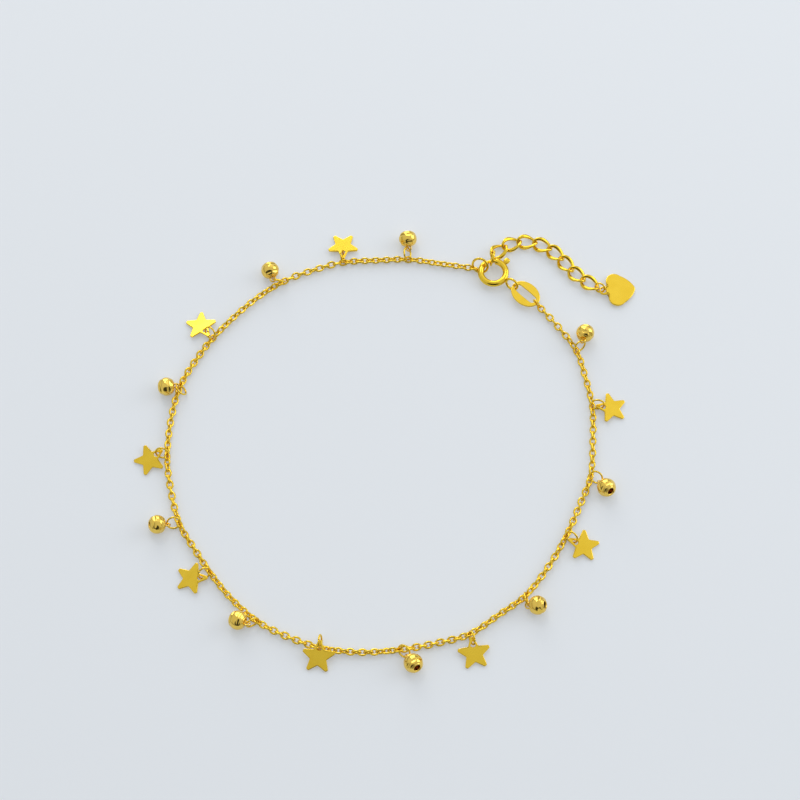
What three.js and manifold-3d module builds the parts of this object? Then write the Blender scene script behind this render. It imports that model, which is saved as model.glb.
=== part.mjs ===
// A charm anklet lying flat in a closed loop: a fine cable chain with nine drilled
// beads and eight stars on jump rings, closed by a spring-ring clasp with an oval
// tag, and an extension chain of flat twisted links that ends in a heart.
// Millimetres and degrees, +Z up. The surface it lies on is z = 0, and the whole is
// moved at the end so that the origin is the middle of its outline there.
import * as THREE from 'three';
import { mergeVertices } from 'three/addons/utils/BufferGeometryUtils.js';
import Module from 'manifold-3d';

const wasm = await Module();
wasm.setup();

// Driving dimensions. A length or width is outside, a radius on a ring is to the
// middle of its wire, and a wire is a diameter.
const CLEARANCE = 0.03;
const MIDDLE = { x: 0.35, y: -0.65 };
const CHAIN = { height: 0.6, apothem: 0.6, sides: 8, step: 2.6, gap: 0.8, lastGap: 0.98 };
const EYE = { length: 1.72, width: 1.26, wire: 0.28, roll: 45 };
const TAG_LINK = { length: 2.2, width: 1.4, wire: 0.32, roll: 90, height: 1.0 };
const RING = { radius: 1.12, wire: 0.32 };
const BEAD = { radius: 1.62, halfLength: 1.36, collar: 0.9, rim: 0.76, step: 0.1 };
const BEAD_HOLE = { radius: 0.56, depth: 2.0 };
const BEAD_BELLY = [-0.92, -0.42, 0, 0.42, 0.92];
const LOOP = { radius: 0.48, wire: 0.28, reach: 1.75 };
const STAR = { radius: 2.8, inner: 1.46, thickness: 0.34, hole: 0.48, holeOffset: 1.5, tipAngle: 5 };
const CLASP = { x: 19.1, y: 32.3, height: 1.16, radius: 2.27, tube: 0.575, bore: 0.4 };
const CLASP_ARC = { mouth: 80, far: 125, overrun: 8, step: 15, slotFrom: -18, slotTo: 53, slotHeight: 0.62 };
const CLASP_EYE = { heading: -36, reach: 4.06, halfLength: 1.15, halfWidth: 1.0, wire: 0.36, tilt: 26 };
const GATE = { pin: 0.3, from: 36, to: 131, lever: 43, stemWidth: 0.5, stemHeight: 0.42, reach: 3.42 };
const KNOB = { radius: 0.5, height: 0.72 };
const OVAL_TAG = { heading: -43.7, length: 5.8, width: 4.4, thickness: 0.34 };
const OVAL_SLOT = { length: 4.6, width: 1.5 };
const OVAL_TAG_PLACE = { x: 24.8, y: 28.0, z: 0.88 };
const CURB = { halfLength: 1.74, halfWidth: 1.25, wire: 0.43, twist: 42, pitch: 2.87, count: 8 };
const HEART = { length: 5.6, lobe: 1.6, lobeX: 2.3, lobeEnd: 45, point: 0.45, blunt: 0.5, thickness: 0.42 };
const HEART_SIDE = { x: 4.65, y: 1.7 };
const HEART_TAB = { radius: 0.8, end: 2.4, hole: 0.5 };
const HEART_RING = { radius: 0.86, wire: 0.34, hook: 0.37 };
const HEART_HANG = { ringHeading: -28, lean: 34, charmHeading: 7, holeHeight: 0.7 };

// The charms in order along the chain, from the end by the clasp round to the tag:
// the chain point of each, which way its jump ring and the charm itself point,
// how far the ring leans over, and how high the charm's hole sits on the ring.
const CHARM_COLUMNS = ['kind', 'x', 'y', 'ringHeading', 'lean', 'charmHeading', 'holeHeight'];
const CHARMS = [
  ['bead', 3.7, 35.2, 80, 30, 96, 1.06],
  ['star', -8.1, 34.6, 91, 12, 91, 0.75],
  ['bead', -18.7, 30.81, 168, 28, 108, 1.35],
  ['star', -31.2, 19.4, 139, -28, 126, 0.75],
  ['bead', -36.5, 10.27, 300, -36, 182, 1.8],
  ['star', -38.2, -3.2, 171, -26, 219, 0.72],
  ['bead', -35.45, -15.65, 194, -36, 186, 1.06],
  ['star', -29.87, -24.28, 212, -28, 180, 0.72],
  ['bead', -21.6, -32.8, 210, -10, 158, 1.95],
  ['star', -11.0, -37.3, 86, 10, 264, 1.5],
  ['bead', 1.95, -37.65, 318, 34, 303, 0.85],
  ['star', 13.7, -35.0, 288, 15, 278, 0.75],
  ['bead', 23.4, -28.2, 280, -15, 355, 0.9],
  ['star', 30.5, -17.8, 322, 25, 338, 0.75],
  ['bead', 35.1, -7.0, 325, 34, 304, 0.8],
  ['star', 35.95, 6.2, 354, 20, 355, 0.75],
  ['bead', 33.6, 16.9, 36, 20, 74, 1.95],
].map((row) => Object.fromEntries(CHARM_COLUMNS.map((name, column) => [name, row[column]])));

// Chain points half-way between neighbouring charms, with the two chain ends.
const CHAIN_START = [15.6, 33.4];
const CHAIN_END = [26.86, 26.06];
const BENDS = [
  [9.5, 34.3], [-2.0, 35.0], [-13.1, 33.1], [-24.65, 26.4], [-33.3, 16.3], [-37.85, 4.0],
  [-37.4, -8.8], [-32.86, -19.9], [-26.28, -28.7], [-16.95, -35.25], [-4.4, -38.1], [8.23, -36.55],
  [18.78, -31.62], [27.4, -23.1], [33.1, -12.1], [35.8, -0.1], [34.87, 12.25], [30.5, 21.6],
];

// Points on the extension's route, from its first link's near end to the heart.
const EXTENSION_ROUTE = [
  [19.18, 35.66, 1.1], [20.2, 36.85, 0.86], [22.5, 38.3, 0.7], [25.3, 38.7, 0.68],
  [28.1, 38.0, 0.68], [30.4, 36.4, 0.68], [34.2, 32.0, 0.68], [37.6, 29.5, 0.68],
];

// End rings round the clasp: the clasp angle each sits at, the heading of its plane,
// its lean, and how far its middle lies outside the middle of the clasp's tube.
const END_RINGS = [
  { name: 'end_ring', radius: 1.42, wire: 0.38, angle: 152, heading: 158, lean: -30, offset: 0.4 },
  { name: 'extension_ring', radius: 1.3, wire: 0.38, angle: 96, heading: 78, lean: -8, offset: 0.45 },
];

const X_AXIS = new THREE.Vector3(1, 0, 0);
const Z_AXIS = new THREE.Vector3(0, 0, 1);
const SAMPLES = 40;
const radians = THREE.MathUtils.degToRad;

const GOLD = { color: 0xd9ab32, metalness: 1, roughness: 0.22 };
const BRUSHED = { color: 0xdcb03c, metalness: 1, roughness: 0.34 };

const anklet = new THREE.Group();

function addPiece(name, geometry, matrix, finish = GOLD) {
  const mesh = new THREE.Mesh(geometry, new THREE.MeshStandardMaterial(finish));
  mesh.name = name;
  mesh.applyMatrix4(matrix);
  anklet.add(mesh);
}

// Horizontal unit vector at a heading, measured from +X towards +Y.
function direction(heading) {
  return new THREE.Vector3(Math.cos(radians(heading)), Math.sin(radians(heading)), 0);
}

function frame(x, y, z, origin) {
  return new THREE.Matrix4().makeBasis(x, y, z).setPosition(origin);
}

// A closed mesh as a solid that can be joined and cut.
function solid(geometry, matrix = new THREE.Matrix4()) {
  const bare = geometry.clone().applyMatrix4(matrix);
  bare.deleteAttribute('normal');
  bare.deleteAttribute('uv');
  const merged = mergeVertices(bare, 1e-4);
  const corners = merged.index.array;
  const kept = [];
  for (let i = 0; i < corners.length; i += 3) {
    const [a, b, c] = corners.slice(i, i + 3);
    if (a !== b && b !== c && c !== a) kept.push(a, b, c);
  }
  const vertProperties = new Float32Array(merged.attributes.position.array);
  return new wasm.Manifold(new wasm.Mesh({ numProp: 3, vertProperties, triVerts: new Uint32Array(kept) }));
}

function surfaceOf(body) {
  const mesh = body.getMesh();
  const geometry = new THREE.BufferGeometry();
  geometry.setAttribute('position', new THREE.BufferAttribute(mesh.vertProperties, 3));
  geometry.setIndex(new THREE.BufferAttribute(mesh.triVerts, 1));
  geometry.computeVertexNormals();
  return geometry;
}

// A closed loop of wire with half lengths a and b to the middle of the wire. The
// twist turns it about its long axis, one way at one end and the other at the other.
function wireLoop(a, b, wire, ringSides, wireSides, twist = 0) {
  const loop = new THREE.TorusGeometry(1, wire / 2, wireSides, ringSides);
  const places = loop.attributes.position;
  const point = new THREE.Vector3();
  for (let i = 0; i < places.count; i += 1) {
    point.fromBufferAttribute(places, i);
    const angle = Math.atan2(point.y, point.x);
    point.x += (a - 1) * Math.cos(angle);
    point.y += (b - 1) * Math.sin(angle);
    point.applyAxisAngle(X_AXIS, -radians(twist) * point.x / a);
    places.setXYZ(i, point.x, point.y, point.z);
  }
  return loop;
}

function ovalLink(link, ringSides = 10, wireSides = 6) {
  const { length, width, wire } = link;
  return wireLoop((length - wire) / 2, (width - wire) / 2, wire, ringSides, wireSides);
}

function roundRing(ring, ringSides = 14, wireSides = 6) {
  return wireLoop(ring.radius, ring.radius, ring.wire, ringSides, wireSides);
}

// A regular section with a flat side across its own +x and -x.
function polygon(apothem, sides) {
  const corner = apothem / Math.cos(Math.PI / sides);
  const points = [];
  for (let side = 0; side < sides; side += 1) {
    const angle = (side + 0.5) * 2 * Math.PI / sides;
    points.push(new THREE.Vector2(corner * Math.cos(angle), corner * Math.sin(angle)));
  }
  return new THREE.Shape(points);
}

function tubeAlong(points, apothem, sides) {
  const extrudePath = new THREE.CatmullRomCurve3(points);
  return new THREE.ExtrudeGeometry(polygon(apothem, sides), { extrudePath, steps: points.length - 1 });
}

function plate(shape, thickness, curveSegments) {
  const geometry = new THREE.ExtrudeGeometry(shape, { depth: thickness, bevelEnabled: false, curveSegments });
  return geometry.translate(0, 0, -thickness / 2);
}

// Where a leaning jump ring sits when it passes through a chain link and rests just
// clear of the surface, and the point on its wire at the charm's hole height. A charm
// that folds back across the chain hangs on the chain side of its ring.
function hangRing(ring, chainPoint, charm) {
  const heading = direction(charm.ringHeading);
  const across = direction(charm.ringHeading + 90);
  const lean = radians(charm.lean);
  const rise = Z_AXIS.clone().multiplyScalar(Math.cos(lean)).addScaledVector(across, Math.sin(lean));
  const reach = ring.radius * Math.cos(lean);
  const height = reach + ring.wire / 2 + CLEARANCE;
  const chainSin = (chainPoint.z - height) / reach;
  const chainCos = -Math.sqrt(1 - chainSin ** 2);
  const centre = chainPoint.clone()
    .addScaledVector(heading, -ring.radius * chainCos)
    .addScaledVector(rise, -ring.radius * chainSin);
  const folded = Math.cos(radians(charm.charmHeading - charm.ringHeading)) < 0;
  const holeSin = (charm.holeHeight - height) / reach;
  const holeCos = Math.sqrt(1 - holeSin ** 2) * (folded ? -1 : 1);
  const hole = centre.clone()
    .addScaledVector(heading, ring.radius * holeCos)
    .addScaledVector(rise, ring.radius * holeSin);
  const wireWay = heading.clone().multiplyScalar(-holeSin).addScaledVector(rise, holeCos);
  return { matrix: frame(heading, rise, heading.clone().cross(rise), centre), hole, wireWay };
}

// Bead: a ball flattened at its ends, drilled from the outer end, with a wire loop
// soldered to the near end. Its axis is local Y and the loop's middle is the origin.
function beadGeometry() {
  const end = BEAD.halfLength;
  const belly = BEAD_BELLY.map((y) => [Math.sqrt(BEAD.radius ** 2 - y ** 2), y]);
  const profile = [
    [0, -end], [BEAD.rim, -end], [BEAD.collar, -end + BEAD.step], ...belly,
    [BEAD.collar, end - BEAD.step], [BEAD.rim, end], [BEAD_HOLE.radius, end],
    [BEAD_HOLE.radius, end - BEAD_HOLE.depth], [0, end - BEAD_HOLE.depth],
  ].map(([radius, y]) => new THREE.Vector2(radius, y + LOOP.reach));
  const ball = solid(new THREE.LatheGeometry(profile, 12));
  return surfaceOf(ball.add(solid(roundRing(LOOP, 10, 5))));
}

function placeBead(name, geometry, charm, hung) {
  const pitch = Math.asin((BEAD.radius + CLEARANCE - hung.hole.z) / LOOP.reach);
  const axis = direction(charm.charmHeading).multiplyScalar(Math.cos(pitch))
    .addScaledVector(Z_AXIS, Math.sin(pitch));
  const normal = hung.wireWay.clone().addScaledVector(axis, -hung.wireWay.dot(axis)).normalize();
  addPiece(name, geometry, frame(axis.clone().cross(normal), axis, normal, hung.hole));
}

// Star: five blunt points, one of them towards -x with the hole in it. The origin is
// the middle of the hole.
function starGeometry() {
  const points = [];
  for (let arm = 0; arm < 5; arm += 1) {
    const tip = 180 + 72 * arm;
    points.push([STAR.radius, tip - STAR.tipAngle], [STAR.radius, tip + STAR.tipAngle]);
    points.push([STAR.inner, tip + 36]);
  }
  const outline = points.map(([radius, angle]) => direction(angle).multiplyScalar(radius));
  const shape = new THREE.Shape(outline.map((p) => new THREE.Vector2(p.x + STAR.holeOffset, p.y)));
  shape.holes.push(new THREE.Path().absarc(0, 0, STAR.hole, 0, 2 * Math.PI));
  return plate(shape, STAR.thickness, 6);
}

// A flat charm hangs by its hole and rests on its far end, that far from the hole.
function placeFlat(name, geometry, charm, hung, restReach, thickness) {
  const drop = Math.asin((hung.hole.z - thickness / 2 - CLEARANCE) / restReach);
  const across = direction(charm.charmHeading + 90);
  const along = direction(charm.charmHeading).multiplyScalar(Math.cos(drop))
    .addScaledVector(Z_AXIS, -Math.sin(drop));
  addPiece(name, geometry, frame(along, across, along.clone().cross(across), hung.hole), BRUSHED);
}

// Chain: an eight-sided tube along the route, broken at each charm by an open link.
function chainRoute() {
  const points = [CHAIN_START, BENDS[0]];
  CHARMS.forEach((charm, n) => points.push([charm.x, charm.y], BENDS[n + 1]));
  points.push(CHAIN_END);
  return new THREE.CatmullRomCurve3(points.map(([x, y]) => new THREE.Vector3(x, y, CHAIN.height)));
}

function openLink(link, route, place, height, ringHeading) {
  const along = route.getTangentAt(place);
  const outward = new THREE.Vector3(along.y, -along.x, 0);
  const roll = radians(direction(ringHeading).dot(outward) < 0 ? -link.roll : link.roll);
  const across = outward.multiplyScalar(Math.cos(roll)).addScaledVector(Z_AXIS, Math.sin(roll));
  const centre = route.getPointAt(place).setZ(height);
  return solid(ovalLink(link), frame(along, across, along.clone().cross(across), centre));
}

function chainGeometry() {
  const route = chainRoute();
  const spans = route.points.length - 1;
  const lengths = route.getLengths(spans * SAMPLES);
  const total = lengths[lengths.length - 1];
  const stops = [0];
  CHARMS.forEach((charm, n) => stops.push(lengths[(2 * n + 2) * SAMPLES]));
  stops.push(total);
  route.arcLengthDivisions = spans * SAMPLES;
  const ringHeadings = [END_RINGS[0].heading + 180, ...CHARMS.map((charm) => charm.ringHeading)];
  let body = null;
  stops.forEach((stop, n) => {
    const last = n === stops.length - 1;
    const link = last
      ? openLink(TAG_LINK, route, 1, TAG_LINK.height, OVAL_TAG.heading)
      : openLink(EYE, route, stop / total, CHAIN.height, ringHeadings[n]);
    body = body ? body.add(link) : link;
    if (last) return;
    const from = stop + CHAIN.gap;
    const to = stops[n + 1] - (n === stops.length - 2 ? CHAIN.lastGap : CHAIN.gap);
    const steps = Math.round((to - from) / CHAIN.step);
    const points = [];
    for (let step = 0; step <= steps; step += 1) {
      points.push(route.getPointAt((from + (to - from) * step / steps) / total));
    }
    body = body.add(solid(tubeAlong(points, CHAIN.apothem, CHAIN.sides)));
  });
  return surfaceOf(body);
}

// Spring-ring clasp: a hollow ring with a mouth, a slot for the lever and a soldered
// eye. The gate is a curved pin in the bore, with a thumb lever through the slot.
function arcTube(radius, from, to, apothem, sides) {
  const steps = Math.round(Math.abs(to - from) / CLASP_ARC.step);
  const points = [];
  for (let step = 0; step <= steps; step += 1) {
    points.push(direction(from + (to - from) * step / steps).multiplyScalar(radius));
  }
  return tubeAlong(points, apothem, sides);
}

function sector(inner, outer, from, to, height) {
  const shape = new THREE.Shape();
  shape.absarc(0, 0, outer, radians(from), radians(to), false);
  shape.absarc(0, 0, inner, radians(to), radians(from), true);
  return plate(shape, height, 6);
}

function claspRing() {
  const { far, overrun, slotFrom, slotTo, slotHeight } = CLASP_ARC;
  const end = CLASP_ARC.mouth + 360;
  const bore = solid(arcTube(CLASP.radius, far - overrun, end + overrun, CLASP.bore, 8));
  const slot = solid(sector(CLASP.radius, CLASP.radius + 2 * CLASP.tube, slotFrom, slotTo, slotHeight));
  const eyeWay = direction(CLASP_EYE.heading);
  const eyeAt = eyeWay.clone().multiplyScalar(CLASP_EYE.reach);
  const eyeRise = Z_AXIS.clone().applyAxisAngle(eyeWay, -radians(CLASP_EYE.tilt));
  const eyeLoop = wireLoop(CLASP_EYE.halfLength, CLASP_EYE.halfWidth, CLASP_EYE.wire, 14, 6);
  const eye = solid(eyeLoop, frame(eyeWay, eyeRise, eyeWay.clone().cross(eyeRise), eyeAt));
  const tube = solid(arcTube(CLASP.radius, far, end, CLASP.tube, 10));
  return surfaceOf(tube.add(eye).subtract(bore).subtract(slot));
}

function claspGate() {
  const lever = direction(GATE.lever);
  const side = direction(GATE.lever + 90);
  const stemLength = GATE.reach - CLASP.radius;
  const stemAt = lever.clone().multiplyScalar(CLASP.radius + stemLength / 2);
  const stem = new THREE.BoxGeometry(stemLength, GATE.stemWidth, GATE.stemHeight);
  const knobAt = lever.clone().multiplyScalar(GATE.reach);
  const knob = new THREE.CylinderGeometry(KNOB.radius, KNOB.radius, KNOB.height, 12);
  return surfaceOf(solid(arcTube(CLASP.radius, GATE.from, GATE.to, GATE.pin, 8))
    .add(solid(stem, frame(lever, side, Z_AXIS, stemAt)))
    .add(solid(knob, frame(lever, Z_AXIS, lever.clone().cross(Z_AXIS), knobAt))));
}

function placeClasp() {
  const place = new THREE.Matrix4().setPosition(CLASP.x, CLASP.y, CLASP.height);
  addPiece('clasp_ring', claspRing(), place);
  addPiece('clasp_gate', claspGate(), place);
  END_RINGS.forEach((end) => {
    const lean = radians(end.lean);
    const out = direction(end.heading);
    const rise = Z_AXIS.clone().multiplyScalar(Math.cos(lean))
      .addScaledVector(direction(end.heading + 90), Math.sin(lean));
    const height = end.radius * Math.cos(lean) + end.wire / 2 + CLEARANCE;
    const centre = new THREE.Vector3(CLASP.x, CLASP.y, height)
      .addScaledVector(direction(end.angle), CLASP.radius)
      .addScaledVector(out, end.offset);
    addPiece(end.name, roundRing(end), frame(out, rise, out.clone().cross(rise), centre));
  });
}

// Oval tag: an oval plate with a long slot that the clasp's eye and the chain's last
// link both pass through.
function placeOvalTag() {
  const shape = new THREE.Shape().absellipse(0, 0, OVAL_TAG.length / 2, OVAL_TAG.width / 2, 0, 2 * Math.PI);
  const slotEnd = (OVAL_SLOT.length - OVAL_SLOT.width) / 2;
  const quarter = Math.PI / 2;
  const slot = new THREE.Path().absarc(slotEnd, 0, OVAL_SLOT.width / 2, -quarter, quarter);
  slot.absarc(-slotEnd, 0, OVAL_SLOT.width / 2, quarter, 3 * quarter);
  shape.holes.push(slot);
  const along = direction(OVAL_TAG.heading);
  const across = direction(OVAL_TAG.heading + 90);
  const { x, y, z } = OVAL_TAG_PLACE;
  const centre = new THREE.Vector3(x, y, z + OVAL_TAG.thickness / 2);
  addPiece('oval_tag', plate(shape, OVAL_TAG.thickness, 10), frame(along, across, Z_AXIS, centre), BRUSHED);
}

// Extension: flat twisted links a pitch apart, each through the next, then a small
// ring and the heart. The heart's origin is the middle of its hole.
function heartGeometry() {
  const { lobe, lobeX, length, point, blunt, thickness } = HEART;
  const leave = radians(HEART.lobeEnd);
  const shape = new THREE.Shape();
  shape.absarc(lobeX, -lobe, lobe, Math.PI / 2, 2 * Math.PI - leave, false);
  shape.quadraticCurveTo(HEART_SIDE.x, -HEART_SIDE.y, length, -blunt);
  shape.quadraticCurveTo(length + point, 0, length, blunt);
  const shoulder = direction(HEART.lobeEnd).multiplyScalar(lobe);
  shape.quadraticCurveTo(HEART_SIDE.x, HEART_SIDE.y, lobeX + shoulder.x, lobe + shoulder.y);
  shape.absarc(lobeX, lobe, lobe, leave, 3 * Math.PI / 2, false);
  const tab = new THREE.Shape().absarc(0, 0, HEART_TAB.radius, Math.PI / 2, 3 * Math.PI / 2);
  tab.lineTo(HEART_TAB.end, -HEART_TAB.radius);
  tab.lineTo(HEART_TAB.end, HEART_TAB.radius);
  const hole = new THREE.Shape().absarc(0, 0, HEART_TAB.hole, 0, 2 * Math.PI);
  const body = solid(plate(shape, thickness, 7)).add(solid(plate(tab, thickness, 6)));
  return surfaceOf(body.subtract(solid(plate(hole, thickness * 2, 6))));
}

function placeExtension() {
  const points = EXTENSION_ROUTE.map(([x, y, z]) => new THREE.Vector3(x, y, z));
  const route = new THREE.CatmullRomCurve3(points);
  const total = route.getLength();
  const near = CURB.halfLength - CURB.wire / 2;
  let along = null;
  let centre = null;
  for (let n = 1; n <= CURB.count; n += 1) {
    const place = (near + CURB.pitch * (n - 1)) / total;
    centre = route.getPointAt(place);
    along = route.getTangentAt(place);
    const across = Z_AXIS.clone().cross(along).normalize();
    const link = wireLoop(CURB.halfLength, CURB.halfWidth, CURB.wire, 14, 6, CURB.twist);
    addPiece(`extension_link_${n}`, link, frame(along, across, along.clone().cross(across), centre));
  }
  const lastLoop = centre.clone().addScaledVector(along, near - HEART_RING.hook);
  const hung = hangRing(HEART_RING, lastLoop, HEART_HANG);
  addPiece('heart_ring', roundRing(HEART_RING, 12, 6), hung.matrix);
  placeFlat('heart_tag', heartGeometry(), HEART_HANG, hung, HEART.length, HEART.thickness);
}

function placeCharms() {
  const bead = beadGeometry();
  const star = starGeometry();
  const counts = { bead: 0, star: 0 };
  const starRest = STAR.holeOffset + STAR.radius * Math.cos(radians(36 - STAR.tipAngle));
  CHARMS.forEach((charm, n) => {
    const hung = hangRing(RING, new THREE.Vector3(charm.x, charm.y, CHAIN.height), charm);
    addPiece(`ring_${n + 1}`, roundRing(RING), hung.matrix);
    counts[charm.kind] += 1;
    const name = `${charm.kind}_${counts[charm.kind]}`;
    if (charm.kind === 'bead') placeBead(name, bead, charm, hung);
    else placeFlat(name, star, charm, hung, starRest, STAR.thickness);
  });
}

addPiece('chain', chainGeometry(), new THREE.Matrix4());
placeCharms();
placeClasp();
placeOvalTag();
placeExtension();
anklet.position.set(-MIDDLE.x, -MIDDLE.y, 0);

export default anklet;
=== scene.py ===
# %% [markdown]
# # A charm anklet in yellow gold
# The anklet lies flat in a closed loop: a fine cable chain, nine diamond-cut beads and
# eight stars on jump rings, a spring-ring clasp with an oval tag, and a short extension
# chain that ends in a heart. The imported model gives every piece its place. This lesson
# makes each piece again as a smooth surface worked out with numpy, and then gives it a
# gold finish, a pale floor, soft light and a camera.

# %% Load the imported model
import math
from collections import namedtuple
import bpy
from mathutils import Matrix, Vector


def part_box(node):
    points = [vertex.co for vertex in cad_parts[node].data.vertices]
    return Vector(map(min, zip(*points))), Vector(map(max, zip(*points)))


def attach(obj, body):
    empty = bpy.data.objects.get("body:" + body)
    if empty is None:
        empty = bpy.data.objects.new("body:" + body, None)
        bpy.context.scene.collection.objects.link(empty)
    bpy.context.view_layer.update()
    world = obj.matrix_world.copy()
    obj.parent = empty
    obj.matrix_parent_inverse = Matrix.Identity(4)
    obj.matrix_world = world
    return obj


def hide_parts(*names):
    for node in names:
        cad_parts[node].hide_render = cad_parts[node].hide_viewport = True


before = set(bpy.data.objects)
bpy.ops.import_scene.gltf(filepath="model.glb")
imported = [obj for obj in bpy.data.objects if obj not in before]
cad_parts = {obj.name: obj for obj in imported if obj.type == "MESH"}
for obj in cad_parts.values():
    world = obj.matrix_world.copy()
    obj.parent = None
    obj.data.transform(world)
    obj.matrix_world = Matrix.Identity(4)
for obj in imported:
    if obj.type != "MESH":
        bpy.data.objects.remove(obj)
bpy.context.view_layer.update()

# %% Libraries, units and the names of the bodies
from types import SimpleNamespace as Sizes

import bpy
import numpy as np
from mathutils import Vector

MM = 0.001
BODY = "anklet"
GATE_BODY = "clasp_gate"

# %% [markdown]
# ## Surfaces as grids of points
# Nearly everything on a piece of jewellery is a wire bent round a path or a plate with
# rounded edges. Both are grids: one direction runs along the path, the other round the
# section. So one helper numbers the faces of any grid, another checks which way they
# point, and a third turns the arrays into a Blender mesh. Sculpting or modifiers could
# give the same shapes, but a formula keeps all repeated pieces exactly alike.

# %% Small helpers for arrays
def stacked(*parts):
    """Arrays spread to one shape and stacked, so that each entry becomes a row of values."""
    return np.stack(np.broadcast_arrays(*parts), axis=-1)


def unit(vectors):
    """Vectors of length one."""
    return vectors / np.linalg.norm(vectors, axis=-1, keepdims=True)


def circle(count, start=0.0, stop=2 * math.pi, endpoint=False):
    """Angles spaced evenly from start to stop."""
    return np.linspace(start, stop, count, endpoint=endpoint)


def around(angle):
    """Points of the unit circle at given angles."""
    return stacked(np.cos(angle), np.sin(angle))


# %% Faces of a grid
def grid_faces(rows, columns, closed=False):
    """Quads of a grid of closed loops: a point, its neighbour, and the two in the next row."""
    row = np.arange(rows if closed else rows - 1)[:, None]
    column = np.arange(columns)
    here, below = row * columns, (row + 1) % rows * columns
    beside = (column + 1) % columns
    return stacked(here + column, here + beside, below + beside, below + column).reshape(-1, 4)


def facing_out(points, quads, ends=()):
    """Turns the faces round if the volume of all quads, in two triangles each, is negative."""
    a, b, c, d = (points[quads[:, k]] for k in range(4))
    volume = sum(np.einsum("ij,ij->", a, np.cross(p, q)) for p, q in ((b, c), (c, d)))
    faces = quads.tolist() + list(ends)
    return points, faces if volume > 0 else [face[::-1] for face in faces]


# %% A closed surface, and several in one mesh
def grid_surface(points, closed=False):
    """Surface over rows of points: closed to a ring, or with one many-sided face at each end."""
    rows, columns = points.shape[:2]
    first = np.arange(columns)
    ends = () if closed else [first[::-1].tolist(), (first + (rows - 1) * columns).tolist()]
    return facing_out(points.reshape(-1, 3), grid_faces(rows, columns, closed), ends)


def joined(*surfaces):
    """Several surfaces as one: points stacked, and faces shifted by the points before them."""
    shifts = np.cumsum([0] + [len(points) for points, faces in surfaces]).tolist()
    faces = [[k + shift for k in face]
             for (points, own), shift in zip(surfaces, shifts) for face in own]
    return np.vstack([points for points, faces in surfaces]), faces


# %% From arrays to a Blender piece
def make_piece(name, surface, material, node, body=BODY, marks=None):
    """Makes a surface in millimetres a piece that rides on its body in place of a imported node.

    Marks are a name and a value for each point, for a finish. Returns the piece and its node.
    """
    points, faces = surface
    mesh = bpy.data.meshes.new(name)
    mesh.from_pydata((points * MM).tolist(), [], faces)
    mesh.polygons.foreach_set("use_smooth", np.ones(len(mesh.polygons), dtype=bool))
    if marks is not None:
        label, values = marks
        mark = mesh.attributes.new(label, "FLOAT", "POINT")
        mark.data.foreach_set("value", values.astype(np.float32))
    mesh.update()
    mesh.materials.append(material)
    piece = bpy.data.objects.new(name, mesh)
    bpy.context.scene.collection.objects.link(piece)
    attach(piece, body)
    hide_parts(node)
    return piece, node


def worst_shift(*made):
    """Largest distance in millimetres between the boxes' corners of pieces and their nodes."""
    boxes = [(np.min(piece.bound_box, axis=0), np.max(piece.bound_box, axis=0))
             for piece, node in made]
    shifts = np.array(boxes) - np.array([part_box(node) for piece, node in made])
    return round(float(np.abs(shifts).max() / MM), 2)


# %% [markdown]
# ## Directions and places
# Each charm is placed by headings, measured on the surface from +X towards +Y. A piece
# is shaped at the origin along its own three axes, and then laid along three given axes
# at a given point. Writing the place into the points, and leaving the object itself at
# the origin, keeps patterns on Object coordinates still when the model is exported.

# %% Headings and frames
UP = np.array([0.0, 0.0, 1.0])
LEVEL = np.array([1.0, 1.0, 0.0])
AXES = np.eye(3)
MIDDLE = np.array([0.35, -0.65, 0.0])
CLEARANCE = 0.03


def heading(degrees):
    """Horizontal unit vector at a heading."""
    angle = math.radians(degrees)
    return np.array([math.cos(angle), math.sin(angle), 0.0])


def leaning(degrees, lean):
    """Axes of a plane that leans over: its heading, its rise, and its normal."""
    tilt = math.radians(lean)
    ahead = heading(degrees)
    rise = UP * math.cos(tilt) + heading(degrees + 90) * math.sin(tilt)
    return ahead, rise, np.cross(ahead, rise)


def laid(points, x_axis, y_axis, z_axis, origin):
    """Points along three axes from an origin, moved so that the anklet's outline is centred."""
    return points @ np.array([x_axis, y_axis, z_axis]) + origin - MIDDLE


# %% [markdown]
# ## Gold that has been polished by hand
# Yellow gold is a metal, so its colour is the colour of its reflections. Two things keep
# it from looking like plastic foil: the alloy's tone drifts a little over a piece, and
# polishing leaves faint marks that widen some reflections and not others. Both are used
# by every finish here, so they are node groups that each material places with its own
# values. The beads get a lighter pair of tones, a lit copy of the gold that stands in for
# their paler highlights. Only the colour, roughness and height leave the group. The shader
# itself stays in the material.

# %% Small helpers for nodes
MIX_SOCKETS = {"FLOAT": (2, 3, 0), "RGBA": (6, 7, 2)}  # first input, second input, output


def add_node(tree, kind, links=(), **values):
    """Adds a shader node, with (output socket, input name) pairs linked into it.

    Values named in small letters are settings of the node, and the others its inputs.
    """
    node = tree.nodes.new("ShaderNode" + kind)
    for name, value in values.items():
        if name.islower():
            setattr(node, name, value)
        else:
            node.inputs[name.replace("_", " ")].default_value = value
    for source, name in links:
        tree.links.new(source, node.inputs[name])
    return node


def add_mix(tree, kind, factor, first):
    """Adds a node that mixes by a linked factor. Returns its second input and its output."""
    start, end, out = MIX_SOCKETS[kind]
    mix = add_node(tree, "Mix", [(factor, "Factor"), (first, start)], data_type=kind)
    return mix.inputs[end], mix.outputs[out]


def new_group(name, inputs, outputs):
    """An empty shader group with sockets of given names and kinds, and the sockets inside it."""
    group = bpy.data.node_groups.new(name, "ShaderNodeTree")
    for way, sockets in (("INPUT", inputs), ("OUTPUT", outputs)):
        for label, kind in sockets.items():
            group.interface.new_socket(label, in_out=way, socket_type="NodeSocket" + kind)
    given, result = (group.nodes.new(kind) for kind in ("NodeGroupInput", "NodeGroupOutput"))
    return group, given.outputs, result.inputs


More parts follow.
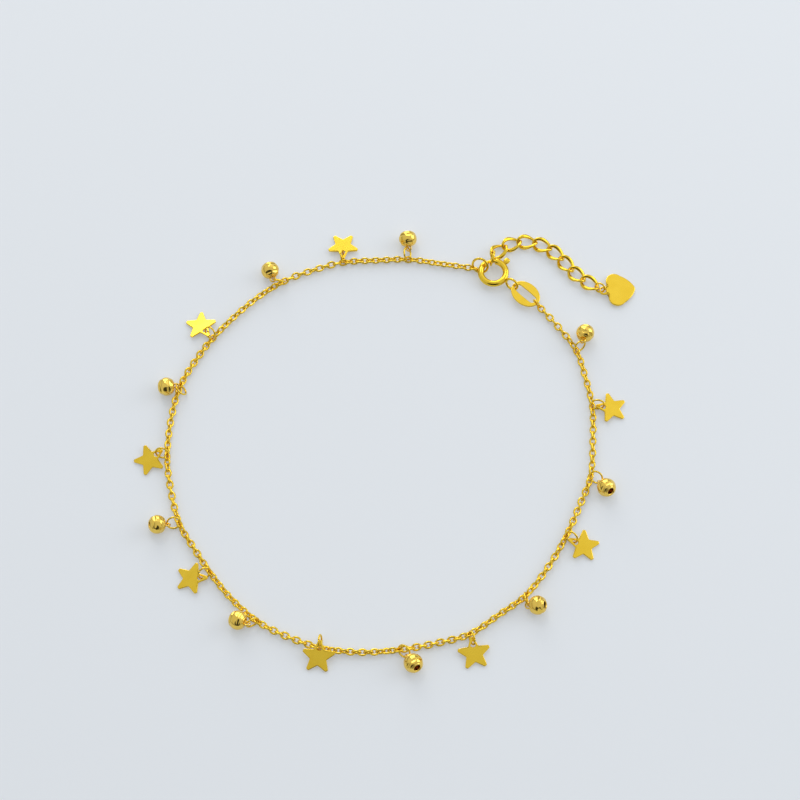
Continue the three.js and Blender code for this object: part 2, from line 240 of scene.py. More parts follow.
# %% Tone of the alloy
NOISE_RANGE = {"From_Min": 0.3, "From_Max": 0.7}


def alloy_tone_group():
    """Mixes a deep and a bright gold by a soft noise over the piece."""
    group, given, result = new_group(
        "alloy_tone", {"Vector": "Vector", "Deep": "Color", "Bright": "Color", "Scale": "Float"},
        {"Color": "Color"})
    noise = add_node(group, "TexNoise", [(given["Vector"], "Vector"), (given["Scale"], "Scale")],
                     Detail=2.0, Roughness=0.5)
    ramp = add_node(group, "MapRange", [(noise.outputs["Fac"], "Value")], **NOISE_RANGE)
    bright, colour = add_mix(group, "RGBA", ramp.outputs["Result"], given["Deep"])
    group.links.new(given["Bright"], bright)
    group.links.new(colour, result["Color"])
    return group


# %% Marks of the polishing wheel
def polish_marks_group():
    """Fine noise, drawn out along one axis, sets a roughness between two limits and a height."""
    group, given, result = new_group(
        "polish_marks", {"Vector": "Vector", "Scale": "Float", "Stretch": "Vector",
                         "Smooth": "Float", "Rough": "Float"},
        {"Roughness": "Float", "Height": "Float"})
    drawn = add_node(group, "Mapping", [(given["Vector"], "Vector"), (given["Stretch"], "Scale")])
    noise = add_node(group, "TexNoise",
                     [(drawn.outputs["Vector"], "Vector"), (given["Scale"], "Scale")],
                     Detail=4.0, Roughness=0.6)
    limits = add_node(group, "MapRange",
                      [(noise.outputs["Fac"], "Value"), (given["Smooth"], "To Min"),
                       (given["Rough"], "To Max")], **NOISE_RANGE)
    group.links.new(limits.outputs["Result"], result["Roughness"])
    group.links.new(noise.outputs["Fac"], result["Height"])
    return group


ALLOY_TONE = alloy_tone_group()
POLISH_MARKS = polish_marks_group()
print("node groups", ALLOY_TONE.name, POLISH_MARKS.name)


# %% The gold finishes
RUBBED_TONES = ((0.865, 0.585, 0.046, 1.0), (0.915, 0.635, 0.058, 1.0))
# The beads' pair is a lighter copy of the gold, which stands in for their paler highlights.
PALE_HIGHLIGHT_TONES = ((0.875, 0.60, 0.105, 1.0), (0.925, 0.65, 0.13, 1.0))
# Painted shade: a darker gold for the inside of a bead's bore, where shade falls.
PAINTED_BORE_SHADE = (0.60, 0.36, 0.05, 1.0)
TONE_SCALE = 500.0
RELIEF = 0.3


def marked_mix(tree, kind, label, plain, marked):
    """Mixes a linked socket towards a constant where the piece's mark of that name is one."""
    mark = add_node(tree, "Attribute", attribute_name=label)
    constant, mixed = add_mix(tree, kind, mark.outputs["Fac"], plain)
    constant.default_value = marked
    return mixed


def gold(name, smooth, rough, scale, bump, stretch=(1, 1, 1), mark=None, tones=RUBBED_TONES):
    """A gold finish with tone and polish from the groups.

    It is burnished on marked edges, or given painted shade on the marked inside of a hole.
    """
    material = bpy.data.materials.new(name)
    material.use_nodes = True
    tree = material.node_tree
    shader = tree.nodes["Principled BSDF"]
    shader.inputs["Metallic"].default_value = 1.0
    place = add_node(tree, "TexCoord").outputs["Object"]
    deep, bright = tones
    tone = add_node(tree, "Group", [(place, "Vector")], node_tree=ALLOY_TONE, Deep=deep,
                    Bright=bright, Scale=TONE_SCALE)
    marks = add_node(tree, "Group", [(place, "Vector")], node_tree=POLISH_MARKS, Scale=scale,
                     Stretch=stretch, Smooth=smooth, Rough=rough)
    colour, roughness = tone.outputs["Color"], marks.outputs["Roughness"]
    if mark == "edge":
        roughness = marked_mix(tree, "FLOAT", mark, roughness, smooth)
    # The marked inside of a hole is painted darker, as shade.
    if mark == "inside":
        colour = marked_mix(tree, "RGBA", mark, colour, PAINTED_BORE_SHADE)
    relief = add_node(tree, "Bump", [(marks.outputs["Height"], "Height")], Strength=RELIEF,
                      Distance=bump)
    tree.links.new(colour, shader.inputs["Base Color"])
    tree.links.new(roughness, shader.inputs["Roughness"])
    tree.links.new(relief.outputs["Normal"], shader.inputs["Normal"])
    return material


WIRE_GOLD = gold("wire_gold", smooth=0.10, rough=0.20, scale=2500.0, bump=2e-6)
CUT_GOLD = gold("diamond_cut_gold", smooth=0.06, rough=0.14, scale=3000.0, bump=1e-6,
                mark="inside", tones=PALE_HIGHLIGHT_TONES)
SATIN_GOLD = gold("satin_gold", smooth=0.18, rough=0.22, scale=3000.0, bump=2e-7,
                  stretch=(1, 0.3, 1), mark="edge")
print("finishes", WIRE_GOLD.name, CUT_GOLD.name, SATIN_GOLD.name)

# %% [markdown]
# ## Where everything lies
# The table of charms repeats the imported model's: the point of the chain each charm hangs
# from, the headings of its ring and of the charm, how far the ring leans and how high the
# charm's hole sits. The chain's route passes through those points and through points
# half-way between them, as a smooth curve whose tangents depend on the spacing.

# %% Charms along the chain
Charm = namedtuple("Charm", "kind x y ring_heading lean charm_heading hole_height")
CHARMS = [Charm(*row) for row in [
    ("bead", 3.7, 35.2, 80, 30, 96, 1.06),
    ("star", -8.1, 34.6, 91, 12, 91, 0.75),
    ("bead", -18.7, 30.81, 168, 28, 108, 1.35),
    ("star", -31.2, 19.4, 139, -28, 126, 0.75),
    ("bead", -36.5, 10.27, 300, -36, 182, 1.8),
    ("star", -38.2, -3.2, 171, -26, 219, 0.72),
    ("bead", -35.45, -15.65, 194, -36, 186, 1.06),
    ("star", -29.87, -24.28, 212, -28, 180, 0.72),
    ("bead", -21.6, -32.8, 210, -10, 158, 1.95),
    ("star", -11.0, -37.3, 86, 10, 264, 1.5),
    ("bead", 1.95, -37.65, 318, 34, 303, 0.85),
    ("star", 13.7, -35.0, 288, 15, 278, 0.75),
    ("bead", 23.4, -28.2, 280, -15, 355, 0.9),
    ("star", 30.5, -17.8, 322, 25, 338, 0.75),
    ("bead", 35.1, -7.0, 325, 34, 304, 0.8),
    ("star", 35.95, 6.2, 354, 20, 355, 0.75),
    ("bead", 33.6, 16.9, 36, 20, 74, 1.95),
]]
CHAIN_START, CHAIN_END = (15.6, 33.4), (26.86, 26.06)
BENDS = [
    (9.5, 34.3), (-2.0, 35.0), (-13.1, 33.1), (-24.65, 26.4), (-33.3, 16.3), (-37.85, 4.0),
    (-37.4, -8.8), (-32.86, -19.9), (-26.28, -28.7), (-16.95, -35.25), (-4.4, -38.1),
    (8.23, -36.55), (18.78, -31.62), (27.4, -23.1), (33.1, -12.1), (35.8, -0.1), (34.87, 12.25),
    (30.5, 21.6),
]
CHAIN_HEIGHT = 0.6


# %% A smooth route through given points
ROUTE_STEPS = 60
TANGENT_REACH = 0.02


def smooth_route(points):
    """Cubic pieces between points, with tangents that weigh the gaps by their square roots.

    Returns the points of the route, finely spaced, and the distance along it of each.
    """
    points = np.asarray(points, dtype=float)
    p = np.vstack([2 * points[0] - points[1], points, 2 * points[-1] - points[-2]])
    gap = np.sqrt(np.linalg.norm(np.diff(p, axis=0), axis=1))[:, None]
    p0, p1, p2, p3 = p[:-3], p[1:-2], p[2:-1], p[3:]
    g0, g1, g2 = gap[:-2], gap[1:-1], gap[2:]
    leave = g1 * ((p1 - p0) / g0 - (p2 - p0) / (g0 + g1) + (p2 - p1) / g1)
    reach = g1 * ((p2 - p1) / g1 - (p3 - p1) / (g1 + g2) + (p3 - p2) / g2)
    t = np.linspace(0, 1, ROUTE_STEPS, endpoint=False)[:, None, None]
    cubic = ((2 * t**3 - 3 * t**2 + 1) * p1 + (t**3 - 2 * t**2 + t) * leave
             + (3 * t**2 - 2 * t**3) * p2 + (t**3 - t**2) * reach)
    route = np.vstack([cubic.transpose(1, 0, 2).reshape(-1, points.shape[1]), points[-1]])
    steps = np.linalg.norm(np.diff(route, axis=0), axis=1)
    return route, np.concatenate([[0], np.cumsum(steps)])


def along_route(route, distance, places):
    """Points and unit tangents of a route at given distances along it."""
    def at(places):
        return stacked(*(np.interp(places, distance, axis) for axis in route.T))

    return at(places), unit(at(places + TANGENT_REACH) - at(places - TANGENT_REACH))


turns = [CHAIN_START, BENDS[0]]
for charm, bend in zip(CHARMS, BENDS[1:]):
    turns += [(charm.x, charm.y), bend]
turns.append(CHAIN_END)
CHAIN = smooth_route([(x, y, CHAIN_HEIGHT) for x, y in turns])
CHAIN_LENGTH = CHAIN[1][-1]
CHARM_STOPS = CHAIN[1][2 * ROUTE_STEPS * np.arange(1, len(CHARMS) + 1)]
print("chain runs", round(CHAIN_LENGTH, 1), "mm past", len(CHARM_STOPS), "charms")

# %% [markdown]
# ## Wire bent into loops
# Jump rings, chain links and the extension's links are all a round wire bent into a loop.
# Going round the loop by one angle and round the wire by another gives every point of it.
# A link of an extension chain is also twisted along its length, so that it lies flat on
# the surface while its neighbours pass through it.

# %% Loop of wire
def wire_loop(a, b, wire, steps, sides, twist=0.0, cut=0.0, widen=0.0):
    """Ellipse of half lengths a and b, thickened to a wire, turned about its long axis with x.

    A cut leaves the loop open by that angle, with flat ends. Widening flattens the two long
    sides: the wire grows inwards by that much, with the squared sine of the angle round it.
    """
    closed = cut == 0.0
    u = circle(steps, cut / 2, 2 * math.pi - cut / 2, endpoint=not closed)[:, None]
    v = circle(sides)[None, :]
    more = widen / 2 * np.sin(u) ** 2
    swell = (wire / 2 + more) * np.cos(v) - more
    x = (a + swell) * np.cos(u)
    y = (b + swell) * np.sin(u)
    z = wire / 2 * np.sin(v)
    turn = -math.radians(twist) * x / a
    points = stacked(x, y * np.cos(turn) - z * np.sin(turn), y * np.sin(turn) + z * np.cos(turn))
    return grid_surface(points, closed)


# %% [markdown]
# ## The cable chain
# A cable chain is about two hundred oval links, each turned a quarter round from the last,
# so that every link's end passes through its neighbours. A tube with a pattern would look
# right only from afar, so real links are made: one link of a few dozen faces, repeated by
# arrays of centres and axes. The number of links between two charms is chosen so that
# each charm's ring meets a link leaning its way. In between, the chain rolls slowly, and
# its height follows the roll so that it stays on the surface.

# %% Link sizes and the roll of each link
LINK = Sizes(length=1.84, width=1.4, wire=0.37, grid=(12, 6))
TAG_LINK = Sizes(length=2.2, width=1.4, wire=0.32, grid=(24, 10))
TAG_LINK_HEIGHT = 1.0
LONGEST_PITCH = 1.17
OUTWARD_ROLL, INWARD_ROLL, LAST_ROLL = 45.0, -45.0, 90.0
QUARTER, HALF_TURN = 90, 180
WIDEST_SWING = 80
SLOW_ROLL, ROLL_BEAT, ROLL_START = 42.0, 2.3, 0.6


def link_places():
    """Distances along the chain and rolls of all links, stretch by stretch between charms.

    Links turn by quarters and share out what is left of the roll, with a half wave added.
    """
    stops = np.concatenate([[0], CHARM_STOPS, [CHAIN_LENGTH]])
    outward = np.cross(along_route(*CHAIN, CHARM_STOPS)[1], UP)
    headings = np.array([heading(charm.ring_heading) for charm in CHARMS])
    inside = np.einsum("ij,ij->i", outward, headings) < 0
    rolls = np.concatenate([[INWARD_ROLL], np.where(inside, INWARD_ROLL, OUTWARD_ROLL),
                            [LAST_ROLL]])
    places, turns = [], []
    for k in range(len(stops) - 1):
        span = stops[k + 1] - stops[k]
        count = math.ceil(span / LONGEST_PITCH)
        swing = (rolls[k + 1] - rolls[k] - QUARTER * count + QUARTER) % HALF_TURN - QUARTER
        if abs(swing) > WIDEST_SWING:
            count += 1
            swing = 0.0
        step = np.arange(count)
        places.append(stops[k] + span * step / count)
        most = SLOW_ROLL * math.sin(ROLL_BEAT * k + ROLL_START)
        slow = most * np.sin(math.pi * step / count)
        turns.append(rolls[k] + QUARTER * step + swing * step / count + slow)
    return np.concatenate(places), np.concatenate(turns)


# %% All links at once
def link_loop(link):
    """A closed loop of wire with a link's outside length and width, and its half width."""
    half_length, half_width = (link.length - link.wire) / 2, (link.width - link.wire) / 2
    return wire_loop(half_length, half_width, link.wire, *link.grid), half_width


def chain_surface():
    """One link repeated along the route: x follows the route, and y is rolled about it."""
    (link, faces), half_width = link_loop(LINK)
    places, rolls = link_places()
    centres, tangents = along_route(*CHAIN, places)
    roll = np.radians(rolls)[:, None]
    across = np.cross(tangents, UP) * np.cos(roll) + UP * np.sin(roll)
    steepest = np.maximum(np.abs(np.sin(roll)), np.abs(np.cos(roll)))
    centres[:, 2] = (half_width * steepest + LINK.wire / 2 + CLEARANCE)[:, 0]
    axes = np.stack([tangents, across, np.cross(tangents, across)], axis=1)
    points = np.einsum("pj,njk->npk", link, axes) + centres[:, None, :] - MIDDLE
    shifts = len(link) * np.arange(len(places))[:, None, None]
    faces = (np.array(faces) + shifts).reshape(-1, 4).tolist()
    return (points.reshape(-1, 3), faces), len(places)


def tag_link_surface():
    """The larger, upright link that joins the chain's last end to the oval tag."""
    points, faces = link_loop(TAG_LINK)[0]
    (end,), (along,) = along_route(*CHAIN, np.array([CHAIN_LENGTH]))
    centre = end * LEVEL + UP * TAG_LINK_HEIGHT
    return laid(points, along, UP, np.cross(along, UP), centre), faces


links, link_count = chain_surface()
chain = make_piece("cable_chain", joined(links, tag_link_surface()), WIRE_GOLD, "chain")
print("chain of", link_count, "links, box off by", worst_shift(chain), "mm")

# %% [markdown]
# ## Jump rings
# Each charm hangs on a small ring of wire that was bent open, hooked through a link and
# the charm, and pressed shut, which leaves a hairline where its two ends meet. The ring
# leans on the surface. Its place follows from two points of its wire: one in the chain's
# link and one in the charm's hole.

# %% How a ring hangs
RING = Sizes(radius=1.12, wire=0.32)
RING_GRID = (40, 10)
RING_CUT = math.radians(2.0)


def hang(ring, chain_point, ring_heading, lean, charm_heading, hole_height):
    """Axes and centre of a leaning ring, its point in the charm's hole, and the wire's way there.

    The ring's lowest wire clears the surface, and the sines of the wire's angles at the link
    and at the hole follow from their heights.
    """
    ahead, rise, normal = leaning(ring_heading, lean)
    reach = ring.radius * math.cos(math.radians(lean))
    height = reach + ring.wire / 2 + CLEARANCE
    link_sine = (chain_point[2] - height) / reach
    link_cosine = -math.sqrt(1 - link_sine**2)
    centre = chain_point - ring.radius * (link_cosine * ahead + link_sine * rise)
    side = -1 if math.cos(math.radians(charm_heading - ring_heading)) < 0 else 1
    hole_sine = (hole_height - height) / reach
    hole_cosine = side * math.sqrt(1 - hole_sine**2)
    hole = centre + ring.radius * (hole_cosine * ahead + hole_sine * rise)
    wire_way = -hole_sine * ahead + hole_cosine * rise
    return (ahead, rise, normal, centre), hole, wire_way


def ring_surface(ring, place, turn=90.0):
    """A cut ring laid in place, turned so that the cut is away from link and charm."""
    points, faces = wire_loop(ring.radius, ring.radius, ring.wire, *RING_GRID, cut=RING_CUT)
    ahead, rise, normal, centre = place
    angle = math.radians(turn)
    x_axis = ahead * math.cos(angle) + rise * math.sin(angle)
    y_axis = rise * math.cos(angle) - ahead * math.sin(angle)
    return laid(points, x_axis, y_axis, normal, centre), faces


# %% A ring for every charm
CUT_TURN = Sizes(least=60, step=17, steps=4)
hung = [hang(RING, np.array([x, y, CHAIN_HEIGHT]), *rest) for kind, x, y, *rest in CHARMS]
rings = []
for number, (place, hole, way) in enumerate(hung, start=1):
    turn = CUT_TURN.least + CUT_TURN.step * (number % CUT_TURN.steps)
    surface = ring_surface(RING, place, turn)
    rings.append(make_piece(f"jump_ring_{number}", surface, WIRE_GOLD, f"ring_{number}"))
print(len(rings), "jump rings, boxes off by", worst_shift(*rings), "mm")

# %% [markdown]
# ## Diamond-cut beads
# A bead is a hollow ball with a flat collar at each end. A diamond tool has cut two rows of
# scoops round it, each longer round the ball than along it, with a smooth band between the
# rows. A scoop is flat round the ball, so all of it mirrors one part of the room: the
# bright back, or the dim front. The ball is a grid of latitude and longitude, and a scoop
# lowers its radius inside a small ellipse by a parabola. A bump texture could draw the
# scoops too, but it would leave the ball's outline round.

# %% Scoops on the ball
BALL = Sizes(radius=1.62, top=1.18, rows=76, columns=126)
SCOOPS = Sizes(row=25.0, count=7, high=11.5, wide=24.0, depth=0.115)


def scooped_radius(latitude, longitude):
    """Ball radius less, in a scoop, depth times one minus the squared distance in its ellipse."""
    step = 360 / SCOOPS.count
    across = (longitude + step / 2) % step - step / 2
    along = np.abs(latitude) - SCOOPS.row
    away = (along / SCOOPS.high) ** 2 + (across / SCOOPS.wide) ** 2
    return BALL.radius - SCOOPS.depth * np.clip(1 - away, 0, 1)


# %% The whole bead, its axis along +Y from the loop outwards
LOOP = Sizes(radius=0.48, wire=0.28, reach=1.75, grid=(32, 10))
NEAR_END = [(0.62, -1.36), (0.8, -1.34), (0.88, -1.28), (0.9, -1.22), (1.0, -1.2)]
FAR_END = [
    (1.0, 1.2), (0.9, 1.22), (0.88, 1.28), (0.84, 1.33), (0.77, 1.36), (0.7, 1.355),
    (0.64, 1.32), (0.58, 1.24), (0.56, 1.1), (0.56, 0.4), (0.56, -0.5),
]
BORE_ROWS = 4


def bead_surface():
    """Rows of circles: the near collar, the ball by latitude, the far collar, and down the bore.

    Returns the surface and a value for every point for painted shade: one on the bore's rows and
    floor.
    """
    columns = BALL.columns
    longitude = circle(columns)
    limit = math.degrees(math.asin(BALL.top / BALL.radius))
    latitude = np.linspace(-limit, limit, BALL.rows)[:, None]
    radius = scooped_radius(latitude, np.degrees(longitude)[None, :])
    ball_r = radius * np.cos(np.radians(latitude))
    ball_y = radius * np.sin(np.radians(latitude))
    near, far = (np.array(end)[:, :, None] + np.zeros(columns) for end in (NEAR_END, FAR_END))
    r = np.vstack([near[:, 0], ball_r, far[:, 0]])
    y = np.vstack([near[:, 1], ball_y, far[:, 1]]) + LOOP.reach
    ball = grid_surface(stacked(r * np.cos(longitude), y, r * np.sin(longitude)))
    loop = wire_loop(LOOP.radius, LOOP.radius, LOOP.wire, *LOOP.grid)
    in_bore = np.repeat(np.arange(len(r)) >= len(r) - BORE_ROWS, columns)
    return joined(ball, loop), np.concatenate([in_bore, np.zeros(len(loop[0]))])


# %% Beads on their rings
def bead_axes(charm_heading, hole, wire_way):
    """Axis from the loop to the ball, which rests on the surface, and a normal along the wire."""
    pitch = math.asin((BALL.radius + CLEARANCE - hole[2]) / LOOP.reach)
    axis = heading(charm_heading) * math.cos(pitch) + UP * math.sin(pitch)
    normal = unit(wire_way - axis * (wire_way @ axis))
    return np.cross(axis, normal), axis, normal, hole


(bead_points, bead_faces), bead_bore_shade = bead_surface()
beads = []
for charm, (place, hole, way) in zip(CHARMS, hung):
    if charm.kind != "bead":
        continue
    name = f"bead_{len(beads) + 1}"
    surface = laid(bead_points, *bead_axes(charm.charm_heading, hole, way)), bead_faces
    # The bore's rows carry the mark for painted shade.
    beads.append(make_piece("cut_" + name, surface, CUT_GOLD, name, marks=("inside", bead_bore_shade)))
print(len(beads), "beads of", len(bead_faces), "faces, boxes off by", worst_shift(*beads), "mm")

# %% [markdown]
# ## Plates with a hole: stars, tag and heart
# The stars, the oval tag and the heart were stamped from sheet and tumbled, so their faces
# are flat and their edges softly rounded. A plate with one hole is a ring in disguise: go
# round the outline with one parameter, and with the other go over the top from the hole to
# the edge, down the side, back under and up through the hole. Straight lines on the face
# join each outline point to a point of the hole's rim. An edge value goes with the points,
# so that the finish can burnish the rounded edge more than the face.

# %% Outlines
def bow(start, control, stop, t):
    """Parabola from start to stop, pulled towards a control point."""
    return (1 - t) ** 2 * start + 2 * t * (1 - t) * control + t**2 * stop


def rounded(corners, cut, steps):
    """Each corner becomes a short parabola between the points that lie the cut away from it."""
    corners = np.asarray(corners, dtype=float)
    before = np.roll(corners, 1, axis=0) - corners
    after = np.roll(corners, -1, axis=0) - corners
    places = (corners + cut * unit(before), corners, corners + cut * unit(after))
    t = np.linspace(0, 1, steps)[None, :, None]
    return bow(*(place[:, None] for place in places), t).reshape(-1, 2)


def inward(loop):
    """Unit normals of a loop that runs anticlockwise, pointing to its inside."""
    way = np.roll(loop, -1, axis=0) - np.roll(loop, 1, axis=0)
    return unit(stacked(-way[:, 1], way[:, 0]))


def rim_of_hole(outline, radius, seen_from, corner, share):
    """Points of a round hole's rim at the origin, one for each outline point.

    The outline's angle about the point seen_from on the x axis is bent so that the angle
    corner falls at share, which keeps each straight line from rim to outline on the plate.
    """
    angle = np.degrees(np.arctan2(outline[:, 1], outline[:, 0] - seen_from))
    bent = np.radians(np.interp(angle, [-180, -corner, corner, 180], [-180, -share, share, 180]))
    return radius * around(bent)


# %% Plate
SECTION = [  # loop, shares of the softness into the plate and below its face, edge value
    ("rim", 0.0, 0.5, 1), ("rim", 0.5, 0.0, 1), ("rim", 0.7, 0.0, 0), ("outline", 1.3, 0.0, 0),
    ("outline", 1.0, 0.0, 0.3), ("outline", 0.45, 0.12, 1), ("outline", 0.12, 0.45, 1),
    ("outline", 0.0, 1.0, 1),
]


def plate_surface(outline, rim, thickness, soft):
    """The section from the hole over the face to the edge, and back mirrored, round the outline.

    Returns the surface and the edge value of every point: one on edges, nought on the faces.
    """
    loops = {"rim": (rim, -inward(rim)), "outline": (outline, inward(outline))}
    upper = [(*loops[loop], into * soft, thickness / 2 - below * soft, edge)
             for loop, into, below, edge in SECTION]
    lower = [(loop, way, into, -height, edge) for loop, way, into, height, edge in upper[::-1]]
    rows = [lower[-1], *upper, *lower[:-1]]
    x, y = np.stack([(loop + into * way).T for loop, way, into, height, edge in rows], axis=1)
    heights, edges = (np.array(column)[:, None] for column in zip(*(row[3:] for row in rows)))
    return grid_surface(stacked(x, y, heights), closed=True), np.repeat(edges, len(outline))


def stamped_piece(name, plate, place, node):
    """A plate laid in place, in satin gold, with its edges marked."""
    (points, faces), edges = plate
    return make_piece(name, (laid(points, *place), faces), SATIN_GOLD, node,
                      marks=("edge", edges))


# %% Star, with the hole's middle as its origin and its body towards +x
STAR = Sizes(radius=2.8, inner=1.46, thickness=0.34, soft=0.1, hole=0.48, offset=1.5)
STAR_TIPS = Sizes(count=5, blunt=5.0, cut=0.16, steps=5)
STAR_RIM = {"seen_from": 0.3, "corner": 89.0, "share": 55.0}
STAR_HALF_STEP = 180 / STAR_TIPS.count
STAR_REST = STAR.offset + STAR.radius * math.cos(math.radians(STAR_HALF_STEP - STAR_TIPS.blunt))


def star_plate():
    """Tips of two corners close together on the outer circle, and inner corners between them."""
    blunt = STAR_TIPS.blunt
    tips = 180 + 2 * STAR_HALF_STEP * np.arange(STAR_TIPS.count)[:, None]
    angles = np.radians(tips + np.array([-blunt, blunt, STAR_HALF_STEP])).ravel()
    radii = np.tile([STAR.radius, STAR.radius, STAR.inner], STAR_TIPS.count)
    corners = radii[:, None] * around(angles) + [STAR.offset, 0]
    outline = rounded(corners, STAR_TIPS.cut, STAR_TIPS.steps)
    rim = rim_of_hole(outline, STAR.hole, **STAR_RIM)
    return plate_surface(outline, rim, STAR.thickness, STAR.soft)


def flat_axes(charm_heading, hole, rest_reach, thickness):
    """Axes of a flat charm that hangs by its hole and rests on its far end."""
    drop = math.asin((hole[2] - thickness / 2 - CLEARANCE) / rest_reach)
    along = heading(charm_heading) * math.cos(drop) - UP * math.sin(drop)
    across = heading(charm_heading + 90)
    return along, across, np.cross(along, across), hole


star = star_plate()
stars = []
for charm, (place, hole, way) in zip(CHARMS, hung):
    if charm.kind != "star":
        continue
    name = f"star_{len(stars) + 1}"
    star_place = flat_axes(charm.charm_heading, hole, STAR_REST, STAR.thickness)
    stars.append(stamped_piece("stamped_" + name, star, star_place, name))
print(len(stars), "stars, boxes off by", worst_shift(*stars), "mm")

# %% [markdown]
# ## Spring-ring clasp
# The clasp is a hollow ring of tube with a mouth. A curved pin inside it closes the mouth,
# pushed by a hidden spring, and a thumb lever on the pin comes out through a slot in the
# tube's outer side. The tube has an outer and an inner skin on the same grid, so a slot is
# a block of faces left out of both skins, with a rim of faces that joins them. The pin
# with its lever is a body of its own and turns about the clasp's middle.

# %% Tube with a mouth and a slot
CLASP = Sizes(middle=np.array([19.1, 32.3, 1.16]), radius=2.27, tube=0.575, bore=0.4)
CLASP_ARC = Sizes(far=125.0, near=440.0)
CLASP_SLOT = Sizes(start=342.0, stop=413.0, middle=360.0, half=34.0)
CLASP_LIP = Sizes(depth=0.1, length=0.02)
CLASP_GRID = (106, 36)


def arc_points(radius, tube, along, round_it):
    """Ring of tube: along is the angle about the clasp's axis, round_it the one about the tube."""
    out = radius + tube * np.cos(round_it)
    return stacked(out * np.cos(along), out * np.sin(along), tube * np.sin(round_it))


def slotted_tube():
    """Outer and inner skin on one grid, less the slot's faces, joined by rims at all openings."""
    steps, sides = CLASP_GRID
    along = np.radians(np.linspace(CLASP_ARC.far, CLASP_ARC.near, steps))[:, None]
    round_it = circle(sides, math.pi, 3 * math.pi)[None, :]
    from_mouth = np.minimum(along - along[0], along[-1] - along)
    lip = 1 - CLASP_LIP.depth * np.exp(-from_mouth / CLASP_LIP.length)
    skins = [arc_points(CLASP.radius, CLASP.tube * lip, along, round_it),
             arc_points(CLASP.radius, CLASP.bore, along, round_it)]
    points = np.concatenate([skin.reshape(-1, 3) for skin in skins])
    quads = grid_faces(steps, sides).reshape(steps - 1, sides, 4)
    middle_along = np.degrees((along[1:, 0] + along[:-1, 0]) / 2)[:, None]
    middle_round = np.degrees(round_it[0] + math.pi / sides)[None, :]
    in_slot = ((middle_along > CLASP_SLOT.start) & (middle_along < CLASP_SLOT.stop)
               & (np.abs(middle_round - CLASP_SLOT.middle) < CLASP_SLOT.half))
    shift = steps * sides
    kept = quads[~in_slot]
    rows, columns = np.nonzero(in_slot)
    low, high, left, right = rows.min(), rows.max() + 1, columns.min(), columns.max() + 1
    border = np.concatenate([
        low * sides + np.arange(left, right), np.arange(low, high) * sides + right,
        high * sides + np.arange(right, left, -1), np.arange(high, low, -1) * sides + left])
    mouths = [np.arange(sides)[::-1], (steps - 1) * sides + np.arange(sides)]
    rims = [stacked(loop + shift, np.roll(loop, -1) + shift, np.roll(loop, -1), loop)
            for loop in (border[::-1], *mouths)]
    return facing_out(points, np.concatenate([kept, kept[:, ::-1] + shift, *rims]))


# %% The clasp's eye, soldered on
CLASP_EYE = Sizes(heading=-36.0, tilt=26.0, reach=4.06)
CLASP_EYE_LOOP = {"a": 1.15, "b": 1.0, "wire": 0.43, "steps": 40, "sides": 12}
tube_points, tube_faces = slotted_tube()
eye_points, eye_faces = wire_loop(**CLASP_EYE_LOOP)
eye_axes = leaning(CLASP_EYE.heading, CLASP_EYE.tilt)
eye_at = CLASP.middle + CLASP_EYE.reach * heading(CLASP_EYE.heading)
clasp_surface = joined((laid(tube_points, *AXES, CLASP.middle), tube_faces),
                       (laid(eye_points, *eye_axes, eye_at), eye_faces))
clasp = make_piece("clasp_tube", clasp_surface, WIRE_GOLD, "clasp_ring")
print("clasp of", len(tube_faces), "faces, box off by", worst_shift(clasp), "mm")

# %% Pin and thumb lever
GATE = Sizes(pin=0.3, start=36.0, stop=131.0, lever=43.0)
PIN_END = Sizes(share=0.05, least=0.02)
PIN_GRID = (48, 14)
LEVER_SIDES, LEVER_POWER = 28, 0.55
LEVER_ROWS = [  # distance from the clasp's middle, half width, half height
    (2.1, 0.2, 0.16), (2.35, 0.25, 0.2), (2.86, 0.25, 0.2), (2.93, 0.4, 0.3), (3.02, 0.49, 0.35),
    (3.3, 0.52, 0.36), (3.62, 0.5, 0.36), (3.8, 0.42, 0.34), (3.89, 0.28, 0.26),
    (3.92, 0.08, 0.08),
]


def pin_surface():
    """A tube along an arc whose section shrinks to a blunt point, as a circle, at both ends."""
    steps, sides = PIN_GRID
    t = np.linspace(0, 1, steps)[:, None]
    along = np.radians(GATE.start + t * (GATE.stop - GATE.start))
    from_end = np.clip(np.minimum(t, 1 - t) / PIN_END.share, 0, 1)
    blunt = np.sqrt(np.clip(1 - (1 - from_end) ** 2, PIN_END.least, 1))
    return grid_surface(arc_points(CLASP.radius, GATE.pin * blunt, along, circle(sides)))


def lever_surface():
    """Rounded rectangles along the lever: sine and cosine keep their sign, in a low power."""
    angle = circle(LEVER_SIDES)
    wide, tall = (np.sign(side) * np.abs(side) ** LEVER_POWER
                  for side in (np.cos(angle), np.sin(angle)))
    reach, half_wide, half_tall = (np.array(column)[:, None] for column in zip(*LEVER_ROWS))
    return grid_surface(stacked(reach, half_wide * wide, half_tall * tall))


pin_points, pin_faces = pin_surface()
lever_points, lever_faces = lever_surface()
lever_axes = heading(GATE.lever), heading(GATE.lever + 90), UP
gate_surface = joined((laid(pin_points, *AXES, CLASP.middle), pin_faces),
                      (laid(lever_points, *lever_axes, CLASP.middle), lever_faces))
gate = make_piece("clasp_pin", gate_surface, WIRE_GOLD, "clasp_gate", body=GATE_BODY)
print("pin and lever, box off by", worst_shift(gate), "mm")

